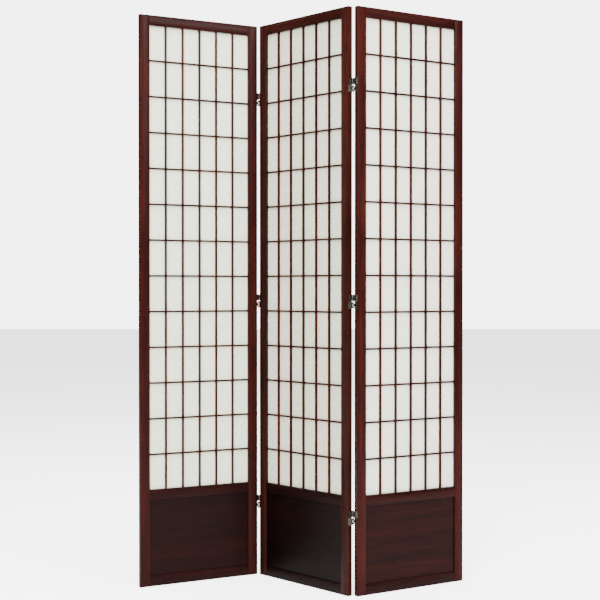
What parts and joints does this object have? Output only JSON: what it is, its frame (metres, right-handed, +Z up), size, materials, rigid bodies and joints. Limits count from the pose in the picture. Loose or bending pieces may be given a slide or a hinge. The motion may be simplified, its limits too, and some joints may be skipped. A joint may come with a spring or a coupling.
{
  "type": "folding shoji screen",
  "caption": "Free-standing folding screen: panels of dark lacquered wood with a lattice over white paper and a kick board below, joined by two-way hinges.",
  "frame": {"origin": "centre of the set-up screen's plan box, knuckles included, at floor level", "axes": "+X to the right along the zigzag's long direction as seen from the front, +Y to the back, +Z up"},
  "size_m": [1.2234, 0.3812, 2.134],
  "materials": {
    "frame_wood": "dark rosewood stain under satin red lacquer",
    "kick_board_wood": "dark stained veneer, satin",
    "lattice_wood": "red lacquer, satin",
    "paper": "matt fibrous paper",
    "hinge_metal": "dark antique, satin",
    "fastener_metal": "dull steel"
  },
  "bodies": {
    "middle_panel": {"middle_stile_left": "frame_wood", "middle_stile_right": "frame_wood", "middle_top_rail": "frame_wood", "middle_mid_rail": "frame_wood", "middle_bottom_rail": "frame_wood", "middle_kick_board": "kick_board_wood", "middle_upright_bars": "lattice_wood", "middle_level_bars": "lattice_wood", "middle_paper": "paper", "middle_left_leaf_low": "hinge_metal", "middle_left_leaf_centre": "hinge_metal", "middle_left_leaf_top": "hinge_metal", "middle_right_leaf_low": "hinge_metal", "middle_right_leaf_centre": "hinge_metal", "middle_right_leaf_top": "hinge_metal", "middle_left_pins": "fastener_metal", "middle_right_pins": "fastener_metal", "middle_left_screws": "fastener_metal", "middle_right_screws": "fastener_metal"},
    "left_panel": {"left_stile_outer": "frame_wood", "left_stile_inner": "frame_wood", "left_top_rail": "frame_wood", "left_mid_rail": "frame_wood", "left_bottom_rail": "frame_wood", "left_kick_board": "kick_board_wood", "left_upright_bars": "lattice_wood", "left_level_bars": "lattice_wood", "left_paper": "paper", "left_leaf_low": "hinge_metal", "left_leaf_centre": "hinge_metal", "left_leaf_top": "hinge_metal", "left_panel_pins": "fastener_metal", "left_screws": "fastener_metal"},
    "right_panel": {"right_stile_inner": "frame_wood", "right_stile_outer": "frame_wood", "right_top_rail": "frame_wood", "right_mid_rail": "frame_wood", "right_bottom_rail": "frame_wood", "right_kick_board": "kick_board_wood", "right_upright_bars": "lattice_wood", "right_level_bars": "lattice_wood", "right_paper": "paper", "right_leaf_low": "hinge_metal", "right_leaf_centre": "hinge_metal", "right_leaf_top": "hinge_metal", "right_panel_pins": "fastener_metal", "right_screws": "fastener_metal"},
    "left_main_strap": {"left_main_straps": "hinge_metal"},
    "left_cross_strap": {"left_cross_straps": "hinge_metal", "left_strap_pins": "fastener_metal"},
    "right_main_strap": {"right_main_straps": "hinge_metal"},
    "right_cross_strap": {"right_cross_straps": "hinge_metal", "right_strap_pins": "fastener_metal"}
  },
  "joints": [
    {"name": "left_fold", "type": "hinge", "parent": "middle_panel", "child": "left_main_strap", "pos_m": [-0.1682, 0.17024, 1.067], "axis": [0, 0, 1], "range_deg": [-22.08, 95.68]},
    {"name": "left_fold_outer", "type": "hinge", "parent": "left_main_strap", "child": "left_panel", "pos_m": [-0.18135, 0.18782, 1.067], "axis": [0, 0, 1], "range_deg": [-1.95, 8.4]},
    {"name": "left_cross_swing", "type": "hinge", "parent": "middle_panel", "child": "left_cross_strap", "pos_m": [-0.15442, 0.18332, 1.067], "axis": [0, 0, 1], "range_deg": [-2.7, 11.5]},
    {"name": "right_fold", "type": "hinge", "parent": "middle_panel", "child": "right_main_strap", "pos_m": [0.18177, -0.17096, 1.067], "axis": [0, 0, 1], "range_deg": [-25.3, 92.46]},
    {"name": "right_fold_outer", "type": "hinge", "parent": "right_main_strap", "child": "right_panel", "pos_m": [0.19583, -0.18782, 1.067], "axis": [0, 0, 1], "range_deg": [-2.25, 8.1]},
    {"name": "right_cross_swing", "type": "hinge", "parent": "middle_panel", "child": "right_cross_strap", "pos_m": [0.16799, -0.18404, 1.067], "axis": [0, 0, 1], "range_deg": [-3.1, 11.15]}
  ],
  "couplings": [
    {"joint": "left_fold_outer", "follows": "left_fold", "ratio": 0.08696},
    {"joint": "left_cross_swing", "follows": "left_fold", "ratio": 0.11957},
    {"joint": "right_fold_outer", "follows": "right_fold", "ratio": 0.08696},
    {"joint": "right_cross_swing", "follows": "right_fold", "ratio": 0.11957}
  ]
}
